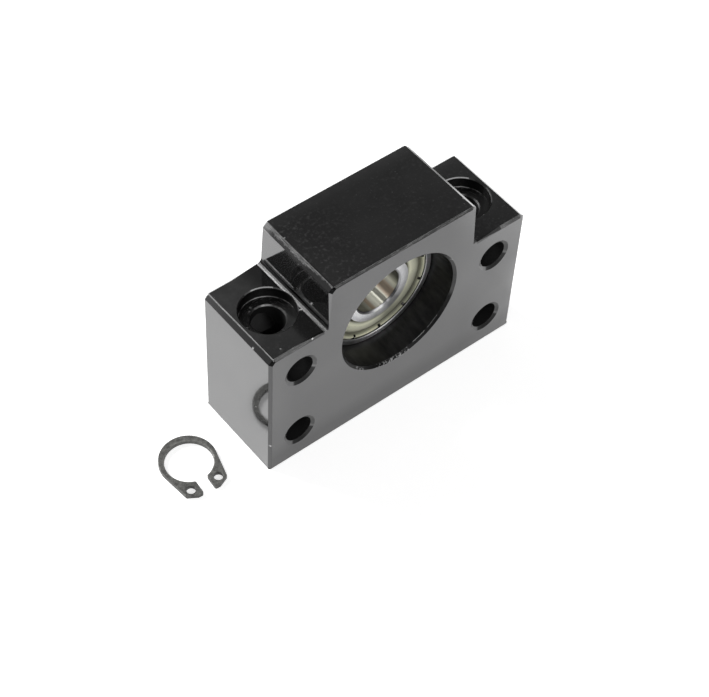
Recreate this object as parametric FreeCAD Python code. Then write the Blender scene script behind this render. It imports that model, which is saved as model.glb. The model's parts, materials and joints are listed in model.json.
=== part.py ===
import FreeCAD, Part
import math
import os

from FreeCAD import Vector

# End support for the floating side of a ball screw, with its bearing and its retaining ring.
# Millimetres. X runs across the block, Y along the screw from front to back, Z up.
# The origin is the middle of the base face.

# Block
block_width = 60.0
block_length = 20.0
axis_height = 25.0
boss_width = 34.0
boss_top_over_axis = 18.0
shoulder_over_axis = 7.5
boss_foot_radius = 1.0
long_edge_chamfer = 1.0
face_edge_chamfer = 0.5
boss_top_face_chamfer = 0.4
base_edge_chamfer = 0.3
chamfer_runout = 6.0

# Bolt holes in the block
bolt_to_end_face = 7.0
upright_hole_diameter = 6.6
head_recess_diameter = 10.8
head_recess_depth = 2.5
head_recess_rim_chamfer = 0.2
upright_hole_floor_chamfer = 0.25
upright_hole_base_chamfer = 0.4
face_hole_diameter = 5.8
face_hole_spacing = 18.0
lower_face_hole_height = 7.25
countersink_width = 0.7
countersink_angle = 118.0

# Deep-groove ball bearing
bearing_bore = 10.0
bearing_diameter = 26.0
bearing_width = 8.0
outer_corner_radius = 0.4
bore_corner_radius = 0.45
inner_land_drop = 1.55
outer_land_rise = 1.5
land_edge_chamfer = 0.3
ball_count = 7
ball_diameter = 4.762
first_ball_angle = 90.0
race_conformity = 0.52
race_clearance = 0.01

# Ball cage
cage_sheet = 0.35
cage_width = 2.0
cage_pocket_clearance = 0.06
rivet_shank_diameter = 0.7
rivet_hole_clearance = 0.02
rivet_head_diameter = 1.2
rivet_head_height = 0.25

# Shields, pressed from sheet and crimped into the outer ring
shield_sheet = 0.3
shield_bore_gap = 0.3
shield_lip_width = 0.35
shield_lip_drop = 0.25
shield_seat_step = 1.0
shield_seat_depth = 1.25
shield_seat_chamfer = 0.15
crimp_groove_depth = 0.25
crimp_clearance = 0.05
shield_rim_setback = 0.4
shield_web_setback = 0.5
shield_notch_count = 11
shield_notch_width = 0.45
shield_notch_reach = 0.75
shield_notch_phase = -117.4

# Rolled rim of a shield: distance inside the seat's wall, and distance behind the ring's face
shield_rim_form = [(0.08, 0.4), (0.2, 0.25), (0.4, 0.15), (0.6, 0.25), (0.9, 0.7), (1.2, 0.7), (1.6, 0.5)]

# Seat of the bearing in the block
bearing_setback = 6.3
float_each_way = 1.0
seat_clearance = 0.01
seat_ledge = 1.5
mouth_relief = 0.2
mouth_chamfer = 0.5

# Retaining ring for the screw's journal, relaxed, lying beside the block
ring_grip = 0.6
ring_thickness = 1.0
ring_back_width = 1.35
ring_tip_width = 0.5
ring_half_gap = 1.22
ring_lug_height = 2.9
ring_lug_end_spread = 2.35
ring_lug_side_drop = 1.05
ring_lug_side_spread = 4.4
ring_lug_corner_radius = 0.4
ring_lug_inner_radius = 0.3
ring_edge_radius = 0.1
ring_lug_hole_diameter = 1.8
ring_lug_hole_height = 1.8
ring_lug_hole_angle = 27.0
ring_stand_off = 11.1
ring_offset_along_screw = 0.35
ring_gap_angle = -95.2

# Places worked out from the sizes
half_width = block_width / 2
half_length = block_length / 2
boss_half = boss_width / 2
boss_height = axis_height + boss_top_over_axis
shoulder_height = axis_height + shoulder_over_axis
bolt_half_spacing = half_width - bolt_to_end_face
upper_face_hole_height = lower_face_hole_height + face_hole_spacing
bearing_front = -half_length + bearing_setback
bearing_middle = bearing_front + bearing_width / 2
bearing_back = bearing_front + bearing_width
ball_radius = ball_diameter / 2
pitch_radius = (bearing_bore + bearing_diameter) / 4
inner_land_radius = pitch_radius - inner_land_drop
outer_land_radius = pitch_radius + outer_land_rise
groove_radius = ball_diameter * race_conformity
pocket_radius = ball_radius + cage_pocket_clearance
shield_seat_radius = outer_land_radius + shield_seat_step
shield_rim_radius = shield_seat_radius + crimp_groove_depth - crimp_clearance
ring_bore_radius = (bearing_bore - ring_grip) / 2
ring_outer_radius = ring_bore_radius + (ring_back_width + ring_tip_width) / 2
ring_outer_shift = (ring_back_width - ring_tip_width) / 2
overcut = 1.0

X = Vector(1, 0, 0)
Y = Vector(0, 1, 0)
Z = Vector(0, 0, 1)
origin = Vector(0, 0, 0)


def around_screw(radius, angle, y):
    """Point at a radius and an angle (degrees, from +X towards +Z) about the screw's axis."""
    turn = math.radians(angle)
    return Vector(radius * math.cos(turn), y, axis_height + radius * math.sin(turn))


def face_of(points):
    return Part.Face(Part.makePolygon(points + [points[0]]))


def turned(profile):
    """Solid of revolution about the screw's axis from (radius, y) points."""
    solid = face_of([Vector(radius, y, 0) for radius, y in profile]).revolve(origin, Y, 360)
    solid.translate(Vector(0, 0, axis_height))
    return solid


def edge_cone(hole_radius, depth, mouth, inwards):
    """Cone that breaks the edge of a hole, started outside the face so that it cuts cleanly."""
    start = mouth - inwards * overcut
    return Part.makeCone(hole_radius + depth + overcut, hole_radius, depth + overcut, start, inwards)


def round_turned_edges(solid, circle_radius, fillet_radius):
    """Round the edges about the screw's axis that have one radius."""
    chosen = []
    for edge in solid.Edges:
        if isinstance(edge.Curve, Part.Circle) and abs(edge.Curve.Radius - circle_radius) < 1e-6:
            chosen.append(edge)
    return solid.makeFillet(fillet_radius, chosen)


def upright_edges(solid, places):
    """Edges along Z that stand at the given (x, y) places."""
    chosen = []
    for edge in solid.Edges:
        box = edge.BoundBox
        if box.XLength > 1e-6 or box.YLength > 1e-6:
            continue
        if any(math.hypot(box.XMin - x, box.YMin - y) < 1e-6 for x, y in places):
            chosen.append(edge)
    return chosen


def flat_face_edges(solid, thickness):
    """Edges round the two flat faces of a plate that stands on the XY plane."""
    chosen = []
    for edge in solid.Edges:
        box = edge.BoundBox
        if box.ZLength < 1e-6 and min(abs(box.ZMin), abs(box.ZMin - thickness)) < 1e-6:
            chosen.append(edge)
    return chosen


def one_solid(shape):
    if len(shape.Solids) != 1:
        raise ValueError("expected one solid, found %d" % len(shape.Solids))
    return shape.Solids[0]


# Housing


def block_blank():
    """The block as one extrusion of its front outline, with rounded feet under the boss."""
    right = [
        (half_width - base_edge_chamfer, 0),
        (half_width, base_edge_chamfer),
        (half_width, shoulder_height - long_edge_chamfer),
        (half_width - long_edge_chamfer, shoulder_height),
        (boss_half, shoulder_height),
        (boss_half, boss_height - long_edge_chamfer),
        (boss_half - long_edge_chamfer, boss_height),
    ]
    left = [(-x, z) for x, z in reversed(right)]
    outline = [Vector(x, -half_length, z) for x, z in right + left]
    blank = face_of(outline).extrude(Y * block_length)
    feet = []
    for edge in blank.Edges:
        middle = edge.CenterOfMass
        if abs(abs(middle.x) - boss_half) < 1e-6 and abs(middle.z - shoulder_height) < 1e-6:
            feet.append(edge)
    return blank.makeFillet(boss_foot_radius, feet)


def edge_wedge(start, start_leg, end, end_leg):
    """Wedge that chamfers one straight edge of the front face, from leg to leg."""
    run = (end - start).normalize()
    inward = Vector(-run.z, 0, run.x)
    margin = 0.2
    sections = []
    for place, leg in ((start, start_leg), (end, end_leg)):
        outer = place - (inward + Y) * margin
        sections.append([outer, outer + inward * (leg + 2 * margin), outer + Y * (leg + 2 * margin)])
    first, last = sections
    sides = [face_of(first), face_of(last)]
    for here, there in ((0, 1), (1, 2), (2, 0)):
        sides.append(face_of([first[here], first[there], last[there], last[here]]))
    return Part.Solid(Part.Shell(sides))


def face_edge_wedges():
    """Chamfers of both faces. They run out to nothing at the feet of the boss."""
    side_bottom = (half_width, base_edge_chamfer)
    side_top = (half_width, shoulder_height - long_edge_chamfer)
    shoulder_end = (half_width - long_edge_chamfer, shoulder_height)
    foot = (boss_half + boss_foot_radius, shoulder_height)
    runout = (boss_half + boss_foot_radius + chamfer_runout, shoulder_height)
    boss_foot = (boss_half, shoulder_height + boss_foot_radius)
    boss_side_top = (boss_half, boss_height - long_edge_chamfer)
    boss_top_end = (boss_half - long_edge_chamfer, boss_height)
    full = face_edge_chamfer
    low = base_edge_chamfer
    top = boss_top_face_chamfer
    stretches = [
        ((0, 0), low, (half_width - base_edge_chamfer, 0), low),
        ((half_width - base_edge_chamfer, 0), low, side_bottom, low),
        (side_bottom, full, side_top, full),
        (side_top, full, shoulder_end, full),
        (shoulder_end, full, runout, full),
        (runout, full, foot, 0),
        (boss_foot, 0, boss_side_top, full),
        (boss_side_top, full, boss_top_end, full),
        (boss_top_end, top, (0, boss_height), top),
    ]
    wedges = []
    for (x0, z0), leg0, (x1, z1), leg1 in stretches:
        start = Vector(x0, -half_length, z0)
        end = Vector(x1, -half_length, z1)
        wedge = edge_wedge(start, leg0, end, leg1)
        mirrored = wedge.mirror(origin, X)
        wedges += [wedge, mirrored, wedge.mirror(origin, Y), mirrored.mirror(origin, Y)]
    return wedges


def seat_bore():
    """The bore: a mouth that leads in, the bearing's seat, and the ledge that stops it at the back."""
    seat_radius = bearing_diameter / 2 + seat_clearance
    mouth_radius = bearing_diameter / 2 + mouth_relief
    ledge_radius = bearing_diameter / 2 - seat_ledge
    seat_front = bearing_front - float_each_way
    seat_stop = bearing_back + float_each_way
    return turned([
        (0, -half_length - overcut),
        (mouth_radius + mouth_chamfer + overcut, -half_length - overcut),
        (mouth_radius, -half_length + mouth_chamfer),
        (seat_radius, seat_front),
        (seat_radius, seat_stop),
        (ledge_radius, seat_stop),
        (ledge_radius, half_length - mouth_chamfer),
        (ledge_radius + mouth_chamfer + overcut, half_length + overcut),
        (0, half_length + overcut),
    ])


def upright_hole(x):
    """Clearance hole down through one shoulder, with a round recess for the bolt's head."""
    radius = upright_hole_diameter / 2
    recess_radius = head_recess_diameter / 2
    rim_radius = recess_radius + head_recess_rim_chamfer
    shank = Part.makeCylinder(radius, shoulder_height + 2 * overcut, Vector(x, 0, -overcut), Z)
    recess_floor = Vector(x, 0, shoulder_height - head_recess_depth)
    recess_height = head_recess_depth + boss_foot_radius + overcut
    recess = Part.makeCylinder(recess_radius, recess_height, recess_floor, Z)
    rim_centre = Vector(x, 0, shoulder_height)
    rim_cone = Part.makeCone(rim_radius, recess_radius, head_recess_rim_chamfer, rim_centre, -Z)
    floor_cone = edge_cone(radius, upright_hole_floor_chamfer, recess_floor, -Z)
    base_cone = edge_cone(radius, upright_hole_base_chamfer, Vector(x, 0, 0), Z)
    return [shank, recess, rim_cone, floor_cone, base_cone]


def face_hole(x, z):
    """Clearance hole through the block from face to face, countersunk at both ends."""
    radius = face_hole_diameter / 2
    shank = Part.makeCylinder(radius, block_length + 2 * overcut, Vector(x, -half_length - overcut, z), Y)
    slope = math.tan(math.radians(countersink_angle / 2))
    wide = radius + countersink_width + slope * overcut
    height = (wide - radius) / slope
    front_cone = Part.makeCone(wide, radius, height, Vector(x, -half_length - overcut, z), Y)
    back_cone = Part.makeCone(wide, radius, height, Vector(x, half_length + overcut, z), -Y)
    return [shank, front_cone, back_cone]


def housing():
    cutters = face_edge_wedges() + [seat_bore()]
    for x in (-bolt_half_spacing, bolt_half_spacing):
        cutters += upright_hole(x)
        for z in (lower_face_hole_height, upper_face_hole_height):
            cutters += face_hole(x, z)
    return one_solid(block_blank().cut(cutters))


# Bearing


def outer_ring():
    groove_front = shield_rim_setback - crimp_clearance
    groove_back = shield_rim_setback + shield_sheet + crimp_clearance
    crimp_radius = shield_seat_radius + crimp_groove_depth
    half_form = [
        (bearing_diameter / 2, 0),
        (shield_seat_radius + shield_seat_chamfer, 0),
        (shield_seat_radius, shield_seat_chamfer),
        (shield_seat_radius, groove_front),
        (crimp_radius, groove_front),
        (crimp_radius, groove_back),
        (shield_seat_radius, groove_back),
        (shield_seat_radius, shield_seat_depth),
        (outer_land_radius, shield_seat_depth),
    ]
    front = [(radius, bearing_front + depth) for radius, depth in half_form]
    back = [(radius, bearing_back - depth) for radius, depth in reversed(half_form)]
    race_circle = pitch_radius + ball_radius + race_clearance - groove_radius
    race = Part.makeTorus(race_circle, groove_radius, Vector(0, bearing_middle, axis_height), Y)
    ring = one_solid(turned(front + back).cut(race))
    return round_turned_edges(ring, bearing_diameter / 2, outer_corner_radius)


def inner_ring():
    profile = [
        (bearing_bore / 2, bearing_front),
        (inner_land_radius - land_edge_chamfer, bearing_front),
        (inner_land_radius, bearing_front + land_edge_chamfer),
        (inner_land_radius, bearing_back - land_edge_chamfer),
        (inner_land_radius - land_edge_chamfer, bearing_back),
        (bearing_bore / 2, bearing_back),
    ]
    race_circle = pitch_radius - ball_radius - race_clearance + groove_radius
    race = Part.makeTorus(race_circle, groove_radius, Vector(0, bearing_middle, axis_height), Y)
    ring = one_solid(turned(profile).cut(race))
    return round_turned_edges(ring, bearing_bore / 2, bore_corner_radius)


def ball_angle(number):
    return first_ball_angle + number * 360 / ball_count


def ball(number):
    return Part.makeSphere(ball_radius, around_screw(pitch_radius, ball_angle(number), bearing_middle))


def ring_band(inner_radius, outer_radius, near_y, far_y):
    return turned([(inner_radius, near_y), (outer_radius, near_y), (outer_radius, far_y), (inner_radius, far_y)])


def cage_half(side):
    """One pressed half: a flat ribbon bulged into a pocket at each ball; side is -1 or 1 along Y."""
    ribbon_inner = pitch_radius - cage_width / 2
    ribbon_outer = pitch_radius + cage_width / 2
    shell_radius = pocket_radius + cage_sheet
    ribbon_face = bearing_middle + side * cage_sheet
    crown = bearing_middle + side * shell_radius
    ribbon = ring_band(ribbon_inner, ribbon_outer, bearing_middle, ribbon_face)
    pocket_band = ring_band(ribbon_inner, ribbon_outer, bearing_middle, crown + side * overcut)
    hole_radius = rivet_shank_diameter / 2 + rivet_hole_clearance
    hole_length = 2 * (cage_sheet + overcut)
    cage = ribbon
    for number in range(ball_count):
        centre = around_screw(pitch_radius, ball_angle(number), bearing_middle)
        dome = Part.makeSphere(shell_radius, centre, Y * side, 0, 90, 360)
        cage = cage.fuse(dome.common(pocket_band))
    for number in range(ball_count):
        centre = around_screw(pitch_radius, ball_angle(number), bearing_middle)
        cage = cage.cut(Part.makeSphere(pocket_radius, centre, Y * side))
        hole_start = rivet_centre(number) - Y * (hole_length / 2)
        cage = cage.cut(Part.makeCylinder(hole_radius, hole_length, hole_start, Y))
    return one_solid(cage)


def rivet_centre(number):
    return around_screw(pitch_radius, ball_angle(number + 0.5), bearing_middle)


def cage_rivets():
    """The rivets between the balls, headed on both halves of the cage."""
    shank = rivet_shank_diameter / 2
    head = rivet_head_diameter / 2
    tip = cage_sheet + rivet_head_height
    rim = cage_sheet + rivet_head_height / 2
    half_form = [(0, tip), (shank, tip), (head, rim), (head, cage_sheet), (shank, cage_sheet)]
    profile = half_form + [(radius, -y) for radius, y in reversed(half_form)]
    section = face_of([Vector(radius, y, 0) for radius, y in profile])
    rivets = []
    for number in range(ball_count):
        rivet = section.revolve(origin, Y, 360)
        rivet.translate(rivet_centre(number))
        rivets.append(rivet)
    return Part.Compound(rivets)


def shield(side):
    """Pressed shield; side is -1 for the front and 1 for the back of the bearing."""
    face_y = bearing_front if side < 0 else bearing_back
    lip_radius = inner_land_radius + shield_bore_gap
    front_form = [(shield_rim_radius, shield_rim_setback)]
    front_form += [(shield_seat_radius - inset, setback) for inset, setback in shield_rim_form]
    front_form.append((lip_radius + shield_lip_width, shield_web_setback))
    front_form.append((lip_radius, shield_web_setback + shield_lip_drop))
    back_form = [(radius, setback + shield_sheet) for radius, setback in reversed(front_form)]
    disc = turned([(radius, face_y - side * setback) for radius, setback in front_form + back_form])
    notch_length = shield_notch_reach + crimp_groove_depth + overcut
    notches = []
    for number in range(shield_notch_count):
        start_x = shield_seat_radius - shield_notch_reach
        corner = Vector(start_x, face_y - bearing_width / 2, axis_height - shield_notch_width / 2)
        slot = Part.makeBox(notch_length, bearing_width, shield_notch_width, corner)
        angle = shield_notch_phase + number * 360 / shield_notch_count
        slot.rotate(Vector(0, 0, axis_height), Y, -angle)
        notches.append(slot)
    return one_solid(disc.cut(notches))


# Retaining ring


def ring_lug(side):
    """One lug in the ring's own plane: +X points out through the gap, side is the sign of Y.
    Its outer side runs on as a tangent of the ring's outer circle."""
    end_reach = ring_bore_radius + ring_lug_height
    side_reach = end_reach - ring_lug_side_drop
    from_centre = math.hypot(side_reach + ring_outer_shift, ring_lug_side_spread)
    lean = math.atan2(ring_lug_side_spread, side_reach + ring_outer_shift)
    touch = lean + math.acos(ring_outer_radius / from_centre)
    touch_reach = ring_outer_radius * math.cos(touch) - ring_outer_shift
    touch_spread = ring_outer_radius * math.sin(touch)
    corners = [
        (0, side * ring_half_gap),
        (end_reach, side * ring_half_gap),
        (end_reach, side * ring_lug_end_spread),
        (side_reach, side * ring_lug_side_spread),
        (touch_reach, side * touch_spread),
        (-ring_outer_shift, 0),
    ]
    lug = face_of([Vector(x, y, 0) for x, y in corners]).extrude(Z * ring_thickness)
    return lug.makeFillet(ring_lug_corner_radius, upright_edges(lug, corners[1:4]))


def retaining_ring():
    """Ring that is widest opposite its gap, with a holed lug at each end for the pliers."""
    ring = Part.makeCylinder(ring_outer_radius, ring_thickness, Vector(-ring_outer_shift, 0, 0), Z)
    bore = Part.makeCylinder(ring_bore_radius, ring_thickness + 2 * overcut, Z * -overcut, Z)
    gap_corner = Vector(0, -ring_half_gap, -overcut)
    gap = Part.makeBox(2 * ring_outer_radius, 2 * ring_half_gap, ring_thickness + 2 * overcut, gap_corner)
    holes = []
    for side in (-1, 1):
        reach = ring_bore_radius + ring_lug_hole_height
        turn = math.radians(side * ring_lug_hole_angle)
        base = Vector(reach * math.cos(turn), reach * math.sin(turn), -overcut)
        holes.append(Part.makeCylinder(ring_lug_hole_diameter / 2, ring_thickness + 2 * overcut, base, Z))
    ring = ring.fuse([ring_lug(-1), ring_lug(1)]).cut([bore, gap] + holes)
    ring = one_solid(ring.removeSplitter())
    gap_start = math.sqrt(ring_bore_radius ** 2 - ring_half_gap ** 2)
    gap_ends = [(gap_start, -ring_half_gap), (gap_start, ring_half_gap)]
    ring = ring.makeFillet(ring_lug_inner_radius, upright_edges(ring, gap_ends))
    ring = one_solid(ring.makeFillet(ring_edge_radius, flat_face_edges(ring, ring_thickness)))
    ring.rotate(origin, Z, ring_gap_angle)
    ring.translate(Vector(-half_width - ring_stand_off, ring_offset_along_screw, 0))
    return ring


def pieces():
    parts = {
        "housing": housing(),
        "outer_ring": outer_ring(),
        "inner_ring": inner_ring(),
        "cage_front_half": cage_half(-1),
        "cage_rear_half": cage_half(1),
        "cage_rivets": cage_rivets(),
        "front_shield": shield(-1),
        "rear_shield": shield(1),
        "retaining_ring": retaining_ring(),
    }
    for number in range(ball_count):
        parts["ball_%d" % (number + 1)] = ball(number)
    return parts


os.makedirs("parts", exist_ok=True)
for name, shape in pieces().items():
    shape.exportStep("parts/%s.step" % name)
    print(name, "solids", len(shape.Solids), "volume", round(shape.Volume, 2), "valid", shape.isValid())
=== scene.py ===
import json
import math
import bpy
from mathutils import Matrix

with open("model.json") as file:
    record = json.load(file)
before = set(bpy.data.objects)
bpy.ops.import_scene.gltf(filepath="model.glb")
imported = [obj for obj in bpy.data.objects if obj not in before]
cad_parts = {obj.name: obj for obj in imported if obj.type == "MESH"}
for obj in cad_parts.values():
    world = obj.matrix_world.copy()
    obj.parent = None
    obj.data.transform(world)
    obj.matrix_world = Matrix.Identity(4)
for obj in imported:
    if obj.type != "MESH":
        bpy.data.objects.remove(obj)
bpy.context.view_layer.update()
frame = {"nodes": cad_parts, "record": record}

from types import SimpleNamespace

import bpy
from mathutils import Matrix, Vector

# End support for a ball screw: a blackened steel block with a shielded bearing in its bore,
# and the retaining ring for the screw's journal lying beside it. Metres, in the CAD's frame.

nodes = frame["nodes"]
scene = bpy.context.scene

# Places on the block, in millimetres, as the materials use them
AXIS_HEIGHT = 25.0
HALF_WIDTH = 30.0
HALF_LENGTH = 10.0
BOSS_HALF = 17.0
BOSS_TOP = 43.0
SHOULDER_TOP = 32.5
LONG_CHAMFER = 1.0
FACE_CHAMFER = 0.5
FOOT_RADIUS = 1.0
MOUTH_RADIUS = 13.21
MOUTH_EDGE_RADIUS = 13.74

# Bolt holes with their recesses, and face holes, in millimetres
BOLT_OFFSET = 23.0
BOLT_HOLE_RADIUS = 3.3
RECESS_RADIUS = 5.4
RECESS_FLOOR = 30.0
FACE_HOLES_MIDDLE = 16.25
FACE_HOLE_OFFSET = 9.0
FACE_HOLE_RADIUS = 2.9

# Bearing, in millimetres along the screw and from its axis
BEARING_FRONT = -3.7
BEARING_BACK = 4.3
JOURNAL_RADIUS = 5.0
INNER_LAND_RADIUS = 7.45
GROOVE_LIP_RADIUS = 11.25
NOTCH_PITCH = 360 / 11
NOTCH_PHASE = -117.4

# Retaining ring's middle and thickness, in millimetres
RING_X = -41.1
RING_Y = 0.35
RING_THICKNESS = 1.0

# Widths of the soft edges of a mask, in millimetres
HAIR = 0.01
SOFT = 0.02


# Camera

CAMERA_LENS = 94.514
CAMERA_PLACE = (-0.15189, -0.16974, 0.28795)
CAMERA_FORWARD = (0.41468, 0.46897, -0.77981)
CAMERA_RIGHT = (0.78029, -0.62416, 0.03957)


def aim_camera():
    """The camera stands above and to the left of the block's open front."""
    data = bpy.data.cameras.new("photo_camera")
    camera = bpy.data.objects.new("photo_camera", data)
    scene.collection.objects.link(camera)
    data.sensor_width = 36.0
    data.lens = CAMERA_LENS
    data.clip_start = 0.01
    data.clip_end = 50.0
    right = Vector(CAMERA_RIGHT).normalized()
    forward = Vector(CAMERA_FORWARD)
    forward = (forward - right * forward.dot(right)).normalized()
    up = right.cross(forward)
    place = Matrix((right, up, -forward)).transposed().to_4x4()
    place.translation = Vector(CAMERA_PLACE)
    camera.matrix_world = place
    scene.camera = camera


# Studio

WALL_GLOW = 0.45
CEILING_GLOW = 0.08
FRONT_GLOW = 0.05
PAPER_SEEN = 0.645
PAPER_MIRRORED = 0.51
TABLE_SIZE = 6.0
TABLE_DROP = 0.00005


def room():
    """A room that is dim overhead and low at the front, and lighter half way up."""
    world = bpy.data.worlds.new("studio_room")
    scene.world = world
    world.use_nodes = True
    direction = shader_node(world, "ShaderNodeTexCoord").outputs["Generated"]
    along, height = split(world, direction)[1:]
    low = ramp(world, along, -0.3, 0.1, FRONT_GLOW, WALL_GLOW)
    side = ramp(world, height, 0.2, 0.42, low, WALL_GLOW)
    level = ramp(world, height, 0.5, 0.72, side, CEILING_GLOW)
    world.node_tree.links.new(level, world.node_tree.nodes["Background"].inputs["Color"])


def soft_box(name, place, width, height, watts):
    light = bpy.data.lights.new(name, "AREA")
    light.shape = "RECTANGLE"
    light.size = width
    light.size_y = height
    light.energy = watts
    box = bpy.data.objects.new(name, light)
    scene.collection.objects.link(box)
    box.location = place
    box.rotation_mode = "QUATERNION"
    box.rotation_quaternion = (-Vector(place)).to_track_quat("-Z", "Y")


def light_studio():
    """The main box is behind and to the left, and a wide, weaker one fills from the front."""
    room()
    soft_box("back_box", (-0.40, 1.02, 0.78), 0.42, 0.42, 18.5)
    soft_box("front_box", (-0.1, -1.0, 0.95), 2.0, 1.0, 8.5)


def table_white():
    """White paper. It shows white to the camera and in the metal, and keeps the object's shadow."""
    mat = bpy.data.materials.new("table_white")
    mat.use_nodes = True
    mat.node_tree.nodes.clear()
    paper = shader_node(mat, "ShaderNodeBsdfDiffuse", {"Color": (0.9, 0.9, 0.9, 1)})
    rays = shader_node(mat, "ShaderNodeLightPath")
    seen = times(mat, rays.outputs["Is Camera Ray"], PAPER_SEEN)
    mirrored = times(mat, rays.outputs["Is Glossy Ray"], PAPER_MIRRORED)
    through = times(mat, rays.outputs["Is Transmission Ray"], PAPER_MIRRORED)
    strength = maths(mat, "ADD", maths(mat, "ADD", seen, mirrored), through)
    glow = shader_node(mat, "ShaderNodeEmission", {"Color": (1, 1, 1, 1), "Strength": strength})
    both = shader_node(mat, "ShaderNodeAddShader", {0: paper.outputs[0], 1: glow.outputs[0]})
    shader_node(mat, "ShaderNodeOutputMaterial", {"Surface": both.outputs[0]})
    return mat


def lay_table():
    bpy.ops.mesh.primitive_plane_add(size=TABLE_SIZE, location=(0, 0, -TABLE_DROP))
    table = bpy.context.active_object
    table.name = "table"
    table.data.materials.append(table_white())


# Shader building blocks

def shader_node(mat, kind, inputs=None, **settings):
    node = mat.node_tree.nodes.new(kind)
    for name, value in settings.items():
        setattr(node, name, value)
    for socket, value in (inputs or {}).items():
        if isinstance(value, bpy.types.NodeSocket):
            mat.node_tree.links.new(value, node.inputs[socket])
        else:
            node.inputs[socket].default_value = value
    return node


def maths(mat, operation, first, second=0.0, third=0.0):
    inputs = {0: first, 1: second, 2: third}
    return shader_node(mat, "ShaderNodeMath", inputs, operation=operation).outputs[0]


def vectors(mat, operation, first, second):
    inputs = {0: first, 1: second}
    return shader_node(mat, "ShaderNodeVectorMath", inputs, operation=operation).outputs


def times(mat, *values):
    total = values[0]
    for value in values[1:]:
        total = maths(mat, "MULTIPLY", total, value)
    return total


def either(mat, *values):
    """The largest of several masks."""
    total = values[0]
    for value in values[1:]:
        total = maths(mat, "MAXIMUM", total, value)
    return total


def ramp(mat, value, low, high, at_low=0.0, at_high=1.0):
    """A straight change from at_low to at_high as the value goes from low to high."""
    return shader_node(mat, "ShaderNodeMapRange", {
        "Value": value, "From Min": low, "From Max": high,
        "To Min": at_low, "To Max": at_high}).outputs[0]


def above(mat, value, low, soft):
    """1 where the value is over low, and 0 under it, with a soft edge."""
    return shader_node(mat, "ShaderNodeMapRange", {
        "Value": value, "From Min": low - soft, "From Max": low},
        interpolation_type="SMOOTHSTEP").outputs[0]


def within(mat, value, high, soft):
    """1 where the value is under high, and 0 over it, with a soft edge."""
    return shader_node(mat, "ShaderNodeMapRange", {
        "Value": value, "From Min": high, "From Max": high + soft, "To Min": 1.0, "To Max": 0.0},
        interpolation_type="SMOOTHSTEP").outputs[0]


def between(mat, value, low, high, soft):
    """1 where the value lies between low and high, and 0 outside, with soft edges."""
    return times(mat, above(mat, value, low, soft), within(mat, value, high, soft))


def near(mat, value, middle, reach, soft):
    """1 where the value is at most the reach away from the middle, with soft edges."""
    return between(mat, value, middle - reach, middle + reach, soft)


def grey(level):
    return (level, level, level)


def mix_colours(mat, amount, first, second):
    node = shader_node(mat, "ShaderNodeMix", data_type="RGBA")
    for socket, value in ((node.inputs[0], amount), (node.inputs[6], first), (node.inputs[7], second)):
        if isinstance(value, bpy.types.NodeSocket):
            mat.node_tree.links.new(value, socket)
        elif socket.type == "RGBA":
            socket.default_value = (*value, 1)
        else:
            socket.default_value = value
    return node.outputs[2]


def scaled(mat, colour, amount):
    inputs = {0: colour, "Scale": amount}
    return shader_node(mat, "ShaderNodeVectorMath", inputs, operation="SCALE").outputs[0]


def changed(mat, tone, mask, factor):
    """The tone times the factor where the mask is 1, and as it was where the mask is 0."""
    share = maths(mat, "MULTIPLY_ADD", mask, maths(mat, "SUBTRACT", factor, 1.0), 1.0)
    return scaled(mat, tone, share)


def noise(mat, place, scale, detail=2.0, roughness=0.5):
    return shader_node(mat, "ShaderNodeTexNoise", {
        "Vector": place, "Scale": scale, "Detail": detail, "Roughness": roughness}).outputs[0]


def tone_by(mat, value, low, high, stops, tint=(1.0, 1.0, 1.0)):
    """A tone that follows a value through (value, level) stops; a level of 1 is the tint itself."""
    share = ramp(mat, value, low, high)
    node = shader_node(mat, "ShaderNodeValToRGB", {"Fac": share})
    band = node.color_ramp
    while len(band.elements) < len(stops):
        band.elements.new(0.5)
    for element, stop in zip(band.elements, stops):
        element.position = (stop[0] - low) / (high - low)
    for element, stop in zip(band.elements, stops):
        element.color = (*(stop[1] * part for part in tint), 1)
    return node.outputs[0]


def metal(name, colour, roughness):
    """A metal whose place is read in millimetres. Gives the material, its shader and the place."""
    mat = bpy.data.materials.new(name)
    mat.use_nodes = True
    mat.node_tree.nodes.clear()
    surface = shader_node(mat, "ShaderNodeBsdfPrincipled", {
        "Base Color": (*colour, 1), "Metallic": 1.0, "Roughness": roughness})
    shader_node(mat, "ShaderNodeOutputMaterial", {"Surface": surface.outputs[0]})
    coords = shader_node(mat, "ShaderNodeTexCoord")
    place = stretched(mat, coords.outputs["Object"], 1000, 1000, 1000)
    return mat, surface, place


def feed(mat, surface, **sockets):
    for name, value in sockets.items():
        mat.node_tree.links.new(value, surface.inputs[name.replace("_", " ")])


# Places on a piece

def split(mat, place):
    return shader_node(mat, "ShaderNodeSeparateXYZ", {0: place}).outputs


def stretched(mat, place, *scale):
    """The place pulled out, so that a noise read there runs in streaks."""
    return shader_node(mat, "ShaderNodeMapping", {"Vector": place, "Scale": scale}).outputs[0]


def distance(mat, first, second):
    squares = maths(mat, "ADD", times(mat, first, first), times(mat, second, second))
    return maths(mat, "SQRT", squares)


def angle_of(mat, up, along):
    """Angle of a direction in degrees."""
    return times(mat, maths(mat, "ARCTAN2", up, along), 180 / math.pi)


def about_axis(mat, x, z):
    """Radius about the screw's axis, and the angle in degrees from +X towards +Z."""
    over = maths(mat, "SUBTRACT", z, AXIS_HEIGHT)
    return distance(mat, x, over), angle_of(mat, over, x)


def from_pair(mat, value, offset):
    """How far the value lies from the nearer of two places, at plus and minus the offset."""
    nearer = times(mat, maths(mat, "SIGN", value), offset)
    return maths(mat, "SUBTRACT", value, nearer)


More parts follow.
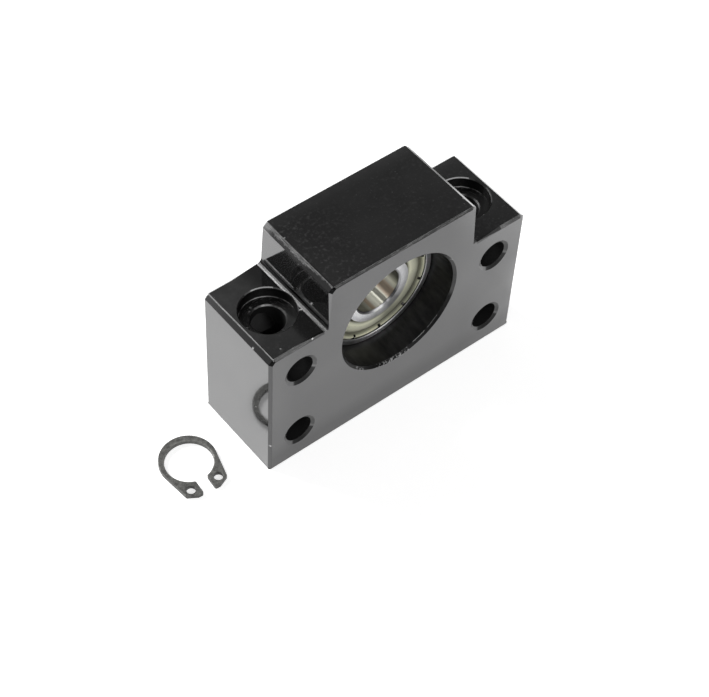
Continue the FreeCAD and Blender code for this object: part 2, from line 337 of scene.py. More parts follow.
def block_places(mat, place):
    """Places on the block, from its faces and from the axes of the screw, bolts and face holes."""
    at = SimpleNamespace(place=place)
    at.x, at.y, at.z = split(mat, place)
    at.from_middle = maths(mat, "ABSOLUTE", at.x)
    at.from_axis, at.angle = about_axis(mat, at.x, at.z)
    at.across = from_pair(mat, at.x, BOLT_OFFSET)
    at.from_bolt = distance(mat, at.across, at.y)
    over = from_pair(mat, maths(mat, "SUBTRACT", at.z, FACE_HOLES_MIDDLE), FACE_HOLE_OFFSET)
    at.from_face_hole = distance(mat, at.across, over)
    at.hole_angle = angle_of(mat, over, at.across)
    return at


# Block

BLACKENED = grey(0.165)

# Slopes of the chamfers: sums of the two places that stay the same along a chamfer
CORNER_SLOPE = HALF_WIDTH + HALF_LENGTH - FACE_CHAMFER
SHOULDER_SLOPE = SHOULDER_TOP + HALF_WIDTH - LONG_CHAMFER
BOSS_SLOPE = BOSS_TOP + BOSS_HALF - LONG_CHAMFER

# Painted highlight lines and shade across the block's rounded feet, by the distance from the middle plane
FOOT_PAINTED_LIGHT = (
    (17.0, 0.05), (17.25, 0.06), (17.36, 0.14), (17.5, 0.22), (17.58, 0.15), (17.66, 0.18),
    (17.78, 0.6), (17.85, 0.9), (17.95, 0.7), (18.04, 0.6), (18.1, 0.3),
)

# Painted sheen of the boss's right top edge, along the screw
RIGHT_EDGE_PAINTED_SHEEN = ((-10, 1.0), (-6, 0.94), (-3, 0.6), (0, 0.34), (3, 0.48), (6, 0.42), (9, 0.76))

# Chips and scratches on the block: x, y, z and radius
CHIPS = (
    (-30.0, -5.8, 15.6, 0.14), (-17.0, 4.1, 34.2, 0.2), (-17.0, 0.5, 34.2, 0.15),
    (-17.0, -0.7, 35.0, 0.2), (-20.6, -10.0, 32.5, 0.22), (-15.9, 4.6, 43.0, 0.2),
    (-13.1, 9.6, 43.0, 0.15), (-26.5, -8.4, 32.5, 0.2), (-30.0, -4.8, 31.7, 0.3),
    (15.9, -7.1, 43.0, 0.22), (15.2, -8.2, 43.0, 0.14), (-30.0, -10.0, 7.6, 0.4),
    (-30.0, -10.0, 24.4, 0.25), (-18.2, -3.4, 32.6, 0.3), (-25.8, -3.6, 30.0, 0.22),
    (-26.0, -2.4, 30.0, 0.16), (-23.9, 4.0, 30.0, 0.3), (-24.6, 3.4, 30.0, 0.2),
    (-27.2, 0.6, 30.0, 0.22),
)


def bored_walls(mat, at):
    """Masks of the bored walls: main bore and its mouth, recesses, bolt holes and face holes."""
    off_faces = between(mat, at.y, -HALF_LENGTH + HAIR, HALF_LENGTH - HAIR, HAIR / 2)
    off_base = above(mat, at.z, 0.35, SOFT)
    main_bore = times(mat, within(mat, at.from_axis, MOUTH_EDGE_RADIUS, HAIR), off_faces)
    recess_depth = times(mat, off_base, within(mat, at.z, SHOULDER_TOP - 0.03, SOFT))
    shank_depth = times(mat, off_base, within(mat, at.z, RECESS_FLOOR - 0.3, SOFT))
    past_hole = FACE_HOLE_RADIUS + 0.04
    off_middle = maths(mat, "ABSOLUTE", at.y)
    countersink_width = between(mat, at.from_face_hole, past_hole, FACE_HOLE_RADIUS + 0.72, 0.03)
    countersink_depth = between(mat, off_middle, HALF_LENGTH - 0.6, HALF_LENGTH - 0.015, HAIR)
    walls = SimpleNamespace()
    walls.mouth = times(mat, between(mat, at.from_axis, MOUTH_RADIUS, MOUTH_EDGE_RADIUS, HAIR), off_faces)
    walls.recess = times(mat, within(mat, at.from_bolt, RECESS_RADIUS + SOFT, SOFT), recess_depth)
    walls.shank = times(mat, within(mat, at.from_bolt, BOLT_HOLE_RADIUS + HAIR, SOFT), shank_depth)
    walls.holes = within(mat, at.from_face_hole, FACE_HOLE_RADIUS + HAIR, SOFT)
    walls.countersink = times(mat, countersink_width, countersink_depth)
    walls.machined = either(mat, main_bore, walls.recess, walls.holes)
    return walls


def bored_tone(mat, at, walls):
    """Dark walls with tool marks, near black with painted shade in the holes, and paler low on the left of
    the main bore.
    """
    tool_noise = noise(mat, stretched(mat, at.place, 0.7, 0.25, 0.7), 1.0, 3.0, 0.6)
    tool_marks = ramp(mat, tool_noise, 0.35, 0.7)
    tone = mix_colours(mat, tool_marks, (0.035, 0.035, 0.036), (0.07, 0.07, 0.071))
    lower_left = between(mat, at.angle, -124.0, -106.0, 12.0)
    lower_left = times(mat, lower_left, ramp(mat, at.y, -9.0, -5.0, 0.1, 0.5))
    tone = mix_colours(mat, lower_left, tone, (0.15, 0.15, 0.147))
    tone = mix_colours(mat, walls.recess, tone, grey(0.06))
    # Painted shade: the face holes and bolt holes are made near black, and the mouth's chamfer as dark
    tone = mix_colours(mat, either(mat, walls.holes, walls.mouth, walls.shank), tone, grey(0.015))
    right_side = times(mat, walls.mouth, between(mat, at.angle, -12.0, 40.0, 8.0))
    return mix_colours(mat, right_side, tone, grey(0.07))


def countersink_painted_shade(mat, at, walls, tone):
    """Painted shade low in the countersinks of the face holes, and a painted sheen on their right."""
    below = times(mat, walls.countersink, between(mat, at.hole_angle, -112.0, -28.0, 10.0))
    tone = mix_colours(mat, below, tone, grey(0.035))
    right = times(mat, walls.countersink, between(mat, at.hole_angle, -10.0, 100.0, 10.0))
    return mix_colours(mat, right, tone, grey(0.1))


def painted_front_reflection(mat, at):
    """Painted reflection on the front: darker near its base, and paler low at its right end."""
    upward = times(
        mat,
        ramp(mat, at.z, 3.0, 7.0, 0.74, 0.97),
        ramp(mat, at.z, 7.0, 12.0, 1.0, 1.05),
        ramp(mat, at.z, 12.0, 20.0, 1.0, 1.09),
        ramp(mat, at.x, -28.0, -24.0, 1.09, 1.0),
    )
    right_low = times(mat, ramp(mat, at.x, 17.0, 27.0, 1.0, 1.34), ramp(mat, at.x, 27.5, 29.0, 1.0, 1.12))
    right_high = times(mat, ramp(mat, at.x, 10.0, 18.0, 1.0, 1.14), ramp(mat, at.x, 21.0, 27.0, 1.0, 0.86))
    rightward = ramp(mat, at.z, 14.0, 22.0, right_low, right_high)
    return times(mat, upward, rightward)


def block_edges(mat, at):
    """Masks of the narrow edges: left corner, base, long chamfers along the screw, front chamfers."""
    left_slope = maths(mat, "SUBTRACT", at.z, at.x)
    right_slope = maths(mat, "ADD", at.z, at.x)
    by_boss_top = between(mat, at.z, BOSS_TOP - 1.1, BOSS_TOP + 0.1, 0.1)
    front_strip = between(mat, at.y, -HALF_LENGTH - HAIR, -HALF_LENGTH + FACE_CHAMFER, SOFT)
    corner = near(mat, maths(mat, "ADD", at.x, at.y), -CORNER_SLOPE, 0.05, 0.05)
    boss_strip = between(mat, at.z, BOSS_TOP - 0.43, BOSS_TOP - 0.04, 0.06)
    shoulder_strip = between(mat, at.z, SHOULDER_TOP - 0.57, SHOULDER_TOP - 0.02, 0.06)
    shoulder_strip = times(mat, shoulder_strip, between(mat, at.from_middle, 18.0, 29.2, 0.1))
    edges = SimpleNamespace()
    edges.left_corner = times(mat, corner, between(mat, at.z, 0.3, 31.4, 0.1))
    edges.base = within(mat, at.z, 0.29, HAIR)
    edges.shoulder = near(mat, left_slope, SHOULDER_SLOPE, 0.1, 0.12)
    edges.boss = times(mat, near(mat, left_slope, BOSS_SLOPE, 0.1, 0.08), by_boss_top)
    edges.boss_right = times(mat, near(mat, right_slope, BOSS_SLOPE, 0.05, 0.04), by_boss_top)
    edges.boss_front = times(mat, front_strip, boss_strip)
    edges.shoulder_front = times(mat, front_strip, shoulder_strip)
    return edges


def long_edge_painted_shade(mat, at, edges, tone):
    """Painted shade: the corner, the base's edge and the long chamfers are darker than the faces beside
    them.
    """
    tone = changed(mat, tone, edges.left_corner, 0.54)
    tone = changed(mat, tone, edges.base, 0.5)
    shoulder_back = ramp(mat, at.y, 3.0, 9.0, 1.0, 1.5)
    shoulder_change = times(mat, ramp(mat, at.y, -9.0, 3.0, 0.45, 0.65), shoulder_back)
    tone = changed(mat, tone, edges.shoulder, shoulder_change)
    boss_back = ramp(mat, at.y, 7.0, 9.0, 1.0, 3.5)
    boss_change = times(mat, ramp(mat, at.y, -3.0, 0.0, 0.42, 0.68), boss_back)
    tone = changed(mat, tone, edges.boss, boss_change)
    return mix_colours(mat, edges.boss_right, tone, grey(0.1))


def front_edge_painted_shade(mat, at, edges, tone):
    """Painted shade on the narrow chamfers at the top of the front, deeper on the left shoulder."""
    tone = mix_colours(mat, edges.boss_front, tone, grey(0.03))
    shoulder_tone = mix_colours(mat, ramp(mat, at.x, -1.0, 1.0), grey(0.056), grey(0.095))
    return mix_colours(mat, edges.shoulder_front, tone, shoulder_tone)


def boss_foot(mat, at):
    """Mask of the rounded feet of the boss."""
    across_foot = between(mat, at.from_middle, BOSS_HALF + HAIR, BOSS_HALF + FOOT_RADIUS + 0.04, HAIR)
    up_foot = between(mat, at.z, SHOULDER_TOP - HAIR, SHOULDER_TOP + FOOT_RADIUS, HAIR)
    return times(mat, across_foot, up_foot)


def foot_painted_highlights(mat, at):
    """Painted highlight lines on the feet next to the shoulder, more so at the back, and painted shade
    above.
    """
    streak_noise = noise(mat, stretched(mat, at.place, 7.0, 1.6, 7.0), 1.0, 3.0, 0.6)
    streaks = ramp(mat, streak_noise, 0.35, 0.65, 0.5, 1.2)
    backward = ramp(mat, at.y, -9.0, 8.0, 0.14, 0.85)
    highlight_strength = times(mat, ramp(mat, at.from_middle, 17.66, 17.8, 0.62, backward), streaks)
    form = tone_by(mat, at.from_middle, BOSS_HALF, BOSS_HALF + 1.1, FOOT_PAINTED_LIGHT)
    return scaled(mat, form, highlight_strength)


def edge_wear(mat, at, edges):
    """Chamfers worn bright in fine streaks. The wear on the boss's left one has a ragged border."""
    along_screw = noise(mat, stretched(mat, at.place, 6.0, 0.5, 6.0), 1.0, 4.0, 0.7)
    across_block = noise(mat, stretched(mat, at.place, 0.5, 6.0, 6.0), 1.0, 4.0, 0.7)
    ragged = ramp(mat, noise(mat, at.place, 1.3, 4.0, 0.65), 0.3, 0.7, -0.22, 0.22)
    worn_width = maths(mat, "ADD", ramp(mat, at.y, -6.5, -3.0, 0.28, 0.6), ragged)
    down_edge = maths(mat, "SUBTRACT", BOSS_TOP, at.z)
    worn_part = ramp(mat, maths(mat, "SUBTRACT", down_edge, worn_width), -0.08, 0.04, 1.0, 0.0)
    worn_part = times(mat, worn_part, ramp(mat, down_edge, 0.02, 0.08))
    boss_wear = times(mat, edges.boss, worn_part, ramp(mat, along_screw, 0.38, 0.62, 0.1, 0.62))

    below_shoulder = maths(mat, "SUBTRACT", LONG_CHAMFER - HALF_WIDTH, at.x)
    from_line = maths(mat, "SUBTRACT", below_shoulder, ramp(mat, at.y, -9.0, 9.0, 0.03, 0.17))
    left_line = near(mat, from_line, 0.0, 0.07, 0.04)
    left_line = times(mat, left_line, between(mat, at.z, SHOULDER_TOP - 0.4, SHOULDER_TOP, 0.03))
    left_wear = times(mat, left_line, ramp(mat, along_screw, 0.3, 0.6, 0.4, 0.85))

    front_edges = either(mat, edges.boss_front, edges.shoulder_front)
    front_wear = times(mat, front_edges, ramp(mat, across_block, 0.5, 0.65, 0.0, 0.12))
    return either(mat, boss_wear, left_wear, front_wear)


def recess_highlights_and_scratches(mat, at):
    """Painted highlights on the far rims of the recesses, their floors and their holes, and scratches
    round the holes.
    """
    behind = ramp(mat, at.y, -1.5, 1.5)
    rim = times(
        mat,
        between(mat, at.from_bolt, RECESS_RADIUS, RECESS_RADIUS + 0.2, 0.03),
        between(mat, at.z, SHOULDER_TOP - 0.22, SHOULDER_TOP - 0.02, SOFT),
    )
    floor_edge = times(
        mat,
        between(mat, at.from_bolt, RECESS_RADIUS - 0.12, RECESS_RADIUS + 0.02, 0.03),
        between(mat, at.z, RECESS_FLOOR - 0.05, RECESS_FLOOR + 0.12, 0.03),
    )
    hole_edge = times(
        mat,
        between(mat, at.from_bolt, BOLT_HOLE_RADIUS, BOLT_HOLE_RADIUS + 0.26, 0.03),
        between(mat, at.z, RECESS_FLOOR - 0.28, RECESS_FLOOR + 0.02, 0.03),
    )
    painted_rim_highlights = either(mat, times(mat, rim, 0.06), times(mat, floor_edge, 0.8), times(mat, hole_edge, 0.35))
    patchy = ramp(mat, noise(mat, at.place, 0.7, 2.0), 0.4, 0.6, 0.1, 1.0)

    turn = times(mat, maths(mat, "ARCTAN2", at.y, at.across), 2.5)
    outward = times(mat, at.from_bolt, 5.0)
    round_bolt = shader_node(mat, "ShaderNodeCombineXYZ", {0: outward, 1: turn, 2: at.across}).outputs[0]
    scratched = ramp(mat, noise(mat, round_bolt, 1.3, 3.0, 0.6), 0.54, 0.66, 0.0, 0.35)
    floor = times(
        mat,
        between(mat, at.from_bolt, BOLT_HOLE_RADIUS + 0.3, RECESS_RADIUS - 0.15, 0.05),
        near(mat, at.z, RECESS_FLOOR, 0.01, 0.005),
    )
    return either(mat, times(mat, painted_rim_highlights, behind, patchy), times(mat, floor, behind, scratched))


def mouth_wear(mat, at):
    """Chips round the lower edge of the mouth, and a fine bright line inside it."""
    chip_noise = ramp(mat, noise(mat, at.place, 2.2, 3.0, 0.7), 0.5, 0.58)
    rim = between(mat, at.from_axis, MOUTH_RADIUS + 0.04, MOUTH_EDGE_RADIUS + 0.04, 0.06)
    by_front = between(mat, at.y, -HALF_LENGTH - 0.1, -HALF_LENGTH + 0.6, 0.05)
    chipped = either(
        mat,
        between(mat, at.angle, -111.0, -77.0, 1.0),
        times(mat, between(mat, at.angle, -136.0, -126.0, 1.0), 0.6),
        between(mat, at.angle, 28.0, 30.0, 0.4),
    )
    chips = times(mat, rim, chipped, chip_noise, by_front, 0.45)
    line = times(
        mat,
        between(mat, at.from_axis, MOUTH_RADIUS - 0.05, MOUTH_RADIUS + 0.01, SOFT),
        near(mat, at.y, -HALF_LENGTH + 0.51, 0.05, 0.03),
    )
    line_part = either(
        mat,
        times(mat, between(mat, at.angle, -70.0, -57.0, 0.6), 0.6),
        times(mat, between(mat, at.angle, -53.0, -40.0, 0.6), 0.35),
    )
    return either(mat, chips, times(mat, line, line_part))


def flecks(mat, place, places):
    """Small chips of uneven outline at the given places; each is x, y, z and a radius."""
    inputs = {"Vector": place, "Scale": 4.0, "Detail": 2.0}
    ragged = shader_node(mat, "ShaderNodeTexNoise", inputs).outputs[1]
    shift = scaled(mat, vectors(mat, "SUBTRACT", ragged, grey(0.5))[0], 0.5)
    moved = vectors(mat, "ADD", shift, place)[0]
    masks = []
    for *centre, radius in places:
        away = vectors(mat, "DISTANCE", moved, centre)["Value"]
        masks.append(ramp(mat, away, radius * 0.7, radius * 1.1, 1.0, 0.0))
    return either(mat, *masks)


def dust_on_top(mat, at):
    """Dust on the faces that look up, thickest on the left shoulder, and wiped off beside the boss."""
    on_shoulders = near(mat, at.z, SHOULDER_TOP, 0.005, 0.003)
    on_boss = near(mat, at.z, BOSS_TOP, 0.005, 0.003)
    upward = either(mat, on_shoulders, on_boss)
    blobs = ramp(mat, noise(mat, at.place, 1.4, 3.0, 0.6), 0.5, 0.72)
    blobs = times(mat, blobs, ramp(mat, at.x, -14.0, -4.0, 0.75, 0.28))
    specks = ramp(mat, noise(mat, at.place, 3.0, 2.0, 0.6), 0.66, 0.72, 0.0, 0.9)
    haze = ramp(mat, noise(mat, at.place, 0.35, 4.0, 0.6), 0.3, 0.7, 0.35, 0.75)
    thin_haze = ramp(mat, noise(mat, at.place, 0.09, 3.0), 0.4, 0.65, 0.0, 0.16)
    back_edge = times(mat, ramp(mat, at.y, 6.0, 9.5, 0.0, 0.6), haze)
    not_wiped = maths(mat, "SUBTRACT", 1.0, between(mat, at.x, -23.5, -17.0, 1.5))
    spots = times(mat, either(mat, blobs, specks, thin_haze, back_edge), not_wiped)
    left_shoulder = times(mat, ramp(mat, at.x, -20.0, -23.0), ramp(mat, at.y, -9.0, -3.0, 0.35, 1.0), haze)
    return times(mat, upward, either(mat, spots, left_shoulder))


def boss_film(mat, at):
    """A thin dull film on the sides of the boss, thicker under its top edge."""
    side = between(mat, at.from_middle, BOSS_HALF - 0.02, BOSS_HALF + HAIR, 0.005)
    up_side = between(mat, at.z, SHOULDER_TOP + 0.98, BOSS_TOP - LONG_CHAMFER, HAIR)
    return times(mat, side, up_side, ramp(mat, at.z, BOSS_TOP - 2.1, BOSS_TOP - 1.2, 0.03, 0.18))


def blackened_block():
    """Ground steel, blackened and glossy. Bores are duller, and edges are worn where it is handled.
    Painted shade darkens its holes, front and edges, and painted highlights lie on its feet and recess
    rims.
    """
    mat, surface, place = metal("blackened_block", BLACKENED, 0.1)
    at = block_places(mat, place)
    walls = bored_walls(mat, at)
    edges = block_edges(mat, at)
    foot = boss_foot(mat, at)
    front = between(mat, at.y, -HALF_LENGTH - HAIR, -HALF_LENGTH + HAIR / 2, HAIR / 2)
    # Wear, and painted highlights on the rims of the recesses
    wear_and_highlights = either(mat, edge_wear(mat, at, edges), recess_highlights_and_scratches(mat, at), mouth_wear(mat, at))
    worn_and_highlit = either(mat, wear_and_highlights, flecks(mat, place, CHIPS))
    dust = dust_on_top(mat, at)

    cloud = noise(mat, place, 0.12, 3.0)
    tone = mix_colours(mat, cloud, (0.155, 0.155, 0.157), grey(0.175))
    # Bored walls, with painted shade in the holes
    tone = mix_colours(mat, walls.machined, tone, bored_tone(mat, at, walls))
    # Painted shade low in the countersinks and a painted sheen on their right
    tone = countersink_painted_shade(mat, at, walls, tone)
    # Painted reflection on the front: darker near its base, paler at its right end
    tone = changed(mat, tone, front, painted_front_reflection(mat, at))
    # Painted shade on the corner, the base's edge and the long chamfers
    tone = long_edge_painted_shade(mat, at, edges, tone)
    # Painted highlight lines and shade on the boss's feet
    tone = mix_colours(mat, foot, tone, foot_painted_highlights(mat, at))
    # Painted shade on the narrow chamfers at the top of the front
    tone = front_edge_painted_shade(mat, at, edges, tone)
    # Wear and chips, with painted highlights on the rims of the recesses
    tone = mix_colours(mat, worn_and_highlit, tone, grey(0.62))
    tone = mix_colours(mat, dust, tone, grey(0.42))

    # Machined, worn and highlit places are rougher, and the holes, black with painted shade, mirror
    # nothing
    foot_near_shoulder = times(mat, foot, ramp(mat, at.from_middle, 17.3, 17.5))
    shaded_holes = either(mat, walls.shank, walls.holes)
    fine = ramp(mat, noise(mat, place, 0.8, 4.0), 0.3, 0.7, 0.05, 0.09)
    duller = times(mat, either(mat, walls.machined, worn_and_highlit, walls.countersink), 0.3)
    duller = either(mat, duller, times(mat, foot_near_shoulder, 0.4))
    rough = maths(mat, "ADD", maths(mat, "ADD", fine, duller), times(mat, dust, 0.12))
    metallic = maths(mat, "SUBTRACT", ramp(mat, foot_near_shoulder, 0.0, 1.0, 0.96, 0.5), boss_film(mat, at))
    metallic = times(mat, metallic, maths(mat, "SUBTRACT", 1.0, shaded_holes))

    # Tint at a low angle: a painted sheen on the boss's right edge, less in the recesses, none in the
    # shaded holes
    right_painted_sheen = tone_by(mat, at.y, -HALF_LENGTH, HALF_LENGTH, RIGHT_EDGE_PAINTED_SHEEN)
    grazing_tint = mix_colours(mat, edges.boss_right, grey(1.0), right_painted_sheen)
    grazing_tint = mix_colours(mat, walls.recess, grazing_tint, grey(0.35))
    grazing_tint = mix_colours(mat, shaded_holes, grazing_tint, grey(0.0))
    feed(mat, surface, Base_Color=tone, Roughness=either(mat, rough, shaded_holes))
    feed(mat, surface, Metallic=metallic, Specular_Tint=grazing_tint)
    return mat


# Bearing

# Painted reflections on the bearing's bore, bore corner and turned faces, by the angle about the screw's
# axis
BORE_PAINTED_REFLECTION = (
    (-160, 0.14), (-130, 0.33), (-116, 0.22), (-104, 0.36), (-98, 0.33), (-94, 0.38), (-88, 0.54),
    (-80, 0.56), (-77, 0.34), (-73.4, 0.34), (-72, 0.55), (-70, 0.55), (-68, 0.08), (-59, 0.08),
    (-57, 0.31), (-46, 0.12), (-38, 0.19), (-26, 0.57), (-20, 0.64), (-12, 0.33), (0, 0.11),
)
CORNER_PAINTED_REFLECTION = (
    (-125, 0.12), (-112, 0.25), (-104, 0.45), (-95, 0.82), (-78, 0.95), (-72, 0.45), (-64, 0.26),
    (-60, 0.52), (-55, 0.3), (-48, 0.1), (-35, 0.07), (-25, 0.2), (-10, 0.45), (30, 0.6),
)
FACE_PAINTED_REFLECTION = (
    (-138, 0.96), (-98, 0.6), (-92, 0.56), (-80, 0.63), (-70, 0.52), (-64, 0.34), (-45, 0.33),
    (-37, 0.52), (-25, 0.68), (-8, 0.77), (180, 0.85),
)
OUTER_PAINTED_REFLECTION = (
    (-118, 0.2), (-105, 0.5), (-88, 0.9), (-76, 0.64), (-66, 0.27), (-50, 0.19), (-35, 0.2),
    (-15, 0.39), (180, 0.48),
)
BORE_TINT = (0.98, 0.98, 0.84)
BORE_BROWN = (1.0, 0.82, 0.64)
STEEL = (0.6, 0.6, 0.61)
STEEL_TINT = (1.0, 1.0, 1.02)

# Painted reflections on a shield's web and rolled rim, by the same angle
WEB_PAINTED_REFLECTION = (
    (-118, 1.0), (-100, 0.97), (-85, 0.75), (-72, 0.42), (-62, 0.4), (-50, 0.53), (-38, 0.57),
    (-26, 0.7), (-12, 0.78), (0, 1.0),
)
RIM_PAINTED_REFLECTION = (
    (-180, 0.55), (-118, 0.75), (-100, 1.0), (-93, 1.0), (-85, 0.8), (-77, 0.72), (-70, 0.55),
    (-60, 0.5), (-44, 0.36), (-37, 0.36), (-28, 0.5), (-10, 0.8), (180, 0.7),
)
WEB_TINT = (1.0, 1.0, 0.78)
RIM_TINT = (1.0, 1.0, 0.72)

# Painted light and shade that show the shield's form, by the distance from the screw's axis
SHIELD_PAINTED_FORM = (
    (7.7, 0.3), (8.0, 0.38), (8.3, 0.85), (8.6, 1.0), (8.85, 0.85), (9.6, 0.66), (10.1, 0.28),
    (10.4, 0.17), (10.7, 0.27), (10.9, 0.72), (11.1, 1.0),
)


def reflection_by_angle(mat, angle, stops, tint):
    """A painted reflection that follows the angle about the screw's axis."""
    return tone_by(mat, angle, -180.0, 180.0, stops, tint)


def bore_reflection_bands(mat, angle):
    """Painted reflections: light and dark bands along the bore, some of them brown."""
    left_brown = between(mat, angle, -98.0, -94.0, 6.0)
    right_brown = between(mat, angle, -50.0, -36.0, 9.0)
    olive_bands = reflection_by_angle(mat, angle, BORE_PAINTED_REFLECTION, BORE_TINT)
    brown_bands = reflection_by_angle(mat, angle, BORE_PAINTED_REFLECTION, BORE_BROWN)
    return mix_colours(mat, either(mat, left_brown, right_brown), olive_bands, brown_bands)


def ring_face_painted_reflections(mat, from_axis, angle):
    """Painted reflections on the inner ring's face, on its outer edge, and on the outer ring's face."""
    inner = reflection_by_angle(mat, angle, FACE_PAINTED_REFLECTION, STEEL_TINT)
    inner = scaled(mat, inner, ramp(mat, from_axis, 6.0, 6.7, 1.14, 0.87))
    edge_ends = either(mat, ramp(mat, angle, -115.0, -128.0), ramp(mat, angle, -22.0, -10.0))
    edge = mix_colours(mat, edge_ends, grey(0.45), grey(0.1))
    outer = reflection_by_angle(mat, angle, OUTER_PAINTED_REFLECTION, STEEL_TINT)
    inner_part = ramp(mat, from_axis, 11.7, 12.1, 1.55, 0.95)
    outer_part = ramp(mat, from_axis, 12.2, 12.6, 1.0, 1.25)
    return inner, edge, scaled(mat, outer, times(mat, inner_part, outer_part))


def bearing_steel():
    """Ground races and faces, with painted reflections: light and dark bands along the bore, and on the
    faces and the bore corner by the angle about the axis.
    """
    mat, surface, place = metal("bearing_steel", STEEL, 0.18)
    x, y, z = split(mat, place)
    from_axis, angle = about_axis(mat, x, z)

    # Parts of the two rings
    in_front = between(mat, y, BEARING_FRONT - 0.1, BEARING_FRONT + 0.5, SOFT)
    on_face = between(mat, y, BEARING_FRONT - 0.05, BEARING_FRONT + 0.04, SOFT)
    in_bore = within(mat, from_axis, JOURNAL_RADIUS + HAIR, HAIR)
    corner = times(mat, between(mat, from_axis, 5.02, 5.44, HAIR), in_front)
    # Painted highlight on the bore corner near the bottom
    painted_corner_highlight = times(
        mat,
        between(mat, from_axis, 5.3, 5.62, 0.15),
        between(mat, angle, -94.0, -78.0, 7.0),
        in_front,
    )
    inner_face = times(mat, on_face, between(mat, from_axis, 5.45, 7.5, HAIR))
    inner_edge = times(mat, in_front, between(mat, from_axis, 7.16, INNER_LAND_RADIUS + HAIR, SOFT))
    outer_face = times(mat, in_front, between(mat, from_axis, 11.6, 13.1, 0.05))
    # Grease and painted shade inside the bearing, from the inner land out to the groove lip
    grease_and_painted_shade = times(
        mat,
        between(mat, from_axis, 7.3, GROOVE_LIP_RADIUS, 0.05),
        between(mat, y, BEARING_FRONT + 0.08, BEARING_BACK - 0.08, SOFT),
    )
    groove_lip = times(
        mat,
        between(mat, from_axis, GROOVE_LIP_RADIUS, GROOVE_LIP_RADIUS + 0.47, 0.03),
        between(mat, y, BEARING_FRONT + HAIR, BEARING_BACK - 0.08, HAIR),
    )

    # Painted shade on the groove lip at the bottom
    painted_lip_shade = between(mat, angle, -88.0, -60.0, 8.0)
    lip_tone = mix_colours(mat, painted_lip_shade, (0.19, 0.19, 0.18), (0.1, 0.1, 0.095))
    inner_tone, edge_tone, outer_tone = ring_face_painted_reflections(mat, from_axis, angle)
    tone = mix_colours(mat, groove_lip, STEEL, lip_tone)
    tone = mix_colours(mat, grease_and_painted_shade, tone, (0.02, 0.02, 0.018))
    # Painted reflections on the bore, bore corner and faces, by angle
    tone = mix_colours(mat, in_bore, tone, bore_reflection_bands(mat, angle))
    tone = mix_colours(mat, corner, tone, reflection_by_angle(mat, angle, CORNER_PAINTED_REFLECTION, STEEL_TINT))
    tone = mix_colours(mat, inner_face, tone, inner_tone)
    tone = mix_colours(mat, inner_edge, tone, edge_tone)
    # Painted highlight on the bore corner
    tone = mix_colours(mat, painted_corner_highlight, tone, (0.95, 0.96, 0.93))
    tone = mix_colours(mat, outer_face, tone, outer_tone)
    turned_noise = noise(mat, stretched(mat, place, 3.0, 0.4, 3.0), 1.0, 3.0)
    turned_marks = ramp(mat, turned_noise, 0.3, 0.7, 0.86, 1.0)

    fine = times(mat, ramp(mat, noise(mat, place, 1.5, 4.0), 0.3, 0.7, 0.9, 1.1), 0.2)
    duller = times(mat, either(mat, in_bore, corner, inner_face, outer_face), 0.3)
    rough = maths(mat, "ADD", fine, duller)
    feed(mat, surface, Base_Color=scaled(mat, tone, turned_marks), Roughness=rough)
    return mat


def shield_sheet():
    """Pressed sheet with an olive tint, with painted reflections by angle, painted highlights towards the
    lip and on the crest of the rolled rim, and painted shade round the notches.
    """
    mat, surface, place = metal("shield_sheet", (0.52, 0.52, 0.38), 0.32)
    surface.inputs["Metallic"].default_value = 0.1
    coords = split(mat, place)
    from_axis, angle = about_axis(mat, coords[0], coords[2])
    on_rim = ramp(mat, from_axis, 9.9, 10.5)
    # Painted reflections on the web and the rim, by angle
    web = reflection_by_angle(mat, angle, WEB_PAINTED_REFLECTION, WEB_TINT)
    rim = reflection_by_angle(mat, angle, RIM_PAINTED_REFLECTION, RIM_TINT)
    shield_painted_reflection = mix_colours(mat, on_rim, web, rim)

    # The light's form moves inwards on the web towards the left and the right
    right_shift = ramp(mat, angle, -50.0, -16.0, 0.0, 0.38)
    left_shift = ramp(mat, angle, -112.0, -134.0, 0.0, 0.2)
    inward = times(mat, either(mat, right_shift, left_shift), ramp(mat, from_axis, 9.2, 10.2, 1.0, 0.0))
    form = tone_by(mat, maths(mat, "ADD", from_axis, inward), 7.5, 11.7, SHIELD_PAINTED_FORM)
    tone = vectors(mat, "MULTIPLY", shield_painted_reflection, form)[0]

    # Painted highlight on the crest of the rolled rim
    painted_crest_highlight = between(mat, from_axis, 11.2, 11.7, 0.15)
    painted_crest_highlight = times(mat, painted_crest_highlight, ramp(mat, angle, -135.0, -115.0, 0.5, 1.0))
    tone = mix_colours(mat, painted_crest_highlight, tone, (1.0, 1.0, 0.82))
    grain = ramp(mat, noise(mat, place, 2.5, 3.0), 0.55, 0.75, 0.0, 0.25)
    tone = mix_colours(mat, grain, tone, (0.4, 0.36, 0.24))
    # Painted shade round the rim's notches
    from_notch = maths(mat, "PINGPONG", maths(mat, "SUBTRACT", angle, NOTCH_PHASE), NOTCH_PITCH / 2)
    notch_painted_shade = times(mat, within(mat, from_notch, 1.4, 0.5), between(mat, from_axis, 10.8, 11.9, 0.1))
    tone = mix_colours(mat, notch_painted_shade, tone, (0.02, 0.02, 0.015))
    rough = ramp(mat, noise(mat, place, 1.0, 4.0), 0.3, 0.7, 0.46, 0.54)
    feed(mat, surface, Base_Color=tone, Roughness=rough)
    return mat


def cage_sheet():
    """Bright pressed sheet, a little stained."""
    bright = (0.5, 0.49, 0.46)
    notch_painted_shade = (0.42, 0.41, 0.37)
    mat, surface, place = metal("cage_sheet", bright, 0.35)
    tone = mix_colours(mat, ramp(mat, noise(mat, place, 0.6, 3.0), 0.4, 0.7), bright, notch_painted_shade)
    rough = ramp(mat, noise(mat, place, 1.0, 4.0), 0.3, 0.7, 0.28, 0.42)
    feed(mat, surface, Base_Color=tone, Roughness=rough)
    return mat


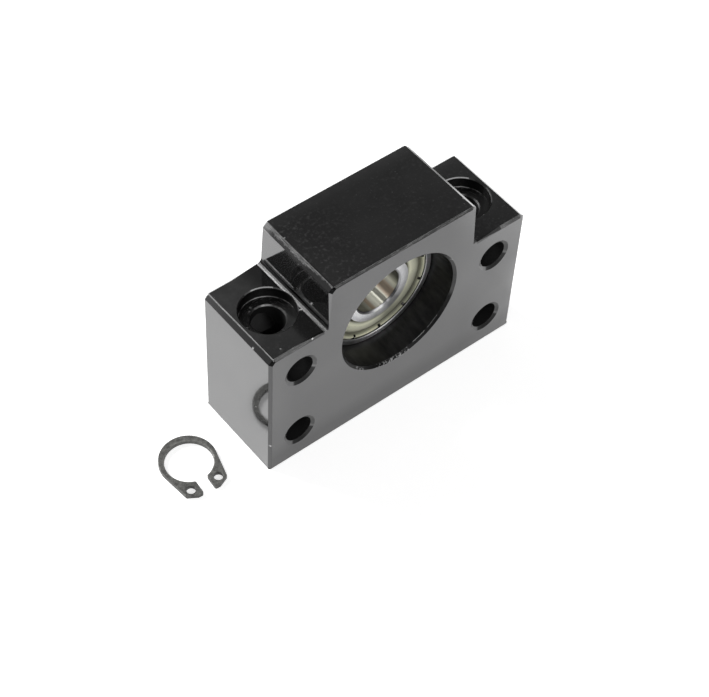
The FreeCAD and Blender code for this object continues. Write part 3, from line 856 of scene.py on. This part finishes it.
def polished_ball():
    mat, surface, place = metal("polished_ball", (0.75, 0.75, 0.76), 0.05)
    feed(mat, surface, Roughness=ramp(mat, noise(mat, place, 2.0, 4.0), 0.3, 0.7, 0.04, 0.08))
    return mat


# Retaining ring

def phosphated_spring():
    """Dark grey spring steel, mottled, with painted shade on the side wall and a painted highlight along
    the inside.
    """
    mat, surface, place = metal("phosphated_spring", (0.14, 0.14, 0.138), 0.5)
    surface.inputs["Metallic"].default_value = 0.3
    x, y, z = split(mat, place)
    from_ring = distance(mat, maths(mat, "SUBTRACT", x, RING_X), maths(mat, "SUBTRACT", y, RING_Y))
    grain = ramp(mat, noise(mat, place, 3.5, 4.0, 0.7), 0.35, 0.7)
    patches = ramp(mat, noise(mat, place, 1.5, 3.0, 0.6), 0.35, 0.65)
    mottle = maths(mat, "MULTIPLY_ADD", grain, 0.45, times(mat, patches, 0.55))
    tone = mix_colours(mat, mottle, (0.06, 0.06, 0.057), (0.235, 0.235, 0.222))
    specks = ramp(mat, noise(mat, place, 4.5, 2.0, 0.6), 0.66, 0.74, 0.0, 0.7)
    tone = mix_colours(mat, specks, tone, grey(0.4))
    # Painted shade on the side wall and a painted highlight along the inside
    painted_wall_shade = ramp(mat, z, RING_THICKNESS - 0.12, RING_THICKNESS - 0.08, 0.6, 1.0)
    painted_inner_highlight = ramp(mat, from_ring, 4.8, 5.0, 1.35, 0.95)
    tone = scaled(mat, tone, times(mat, painted_wall_shade, painted_inner_highlight))
    feed(mat, surface, Base_Color=tone, Roughness=ramp(mat, grain, 0.0, 1.0, 0.4, 0.55))
    return mat


# Finishes by the names that the pieces carry

FINISHES = {
    "blackened_block": blackened_block(),
    "bearing_steel": bearing_steel(),
    "shield_sheet": shield_sheet(),
    "cage_sheet": cage_sheet(),
    "polished_ball": polished_ball(),
    "phosphated_spring": phosphated_spring(),
}


def finish_nodes():
    for subpart in frame["record"]["subparts"]:
        mesh = nodes[subpart["node"]].data
        mesh.materials.clear()
        mesh.materials.append(FINISHES[subpart["material_slot"]])


scene.view_settings.view_transform = "Standard"
aim_camera()
light_studio()
lay_table()
finish_nodes()
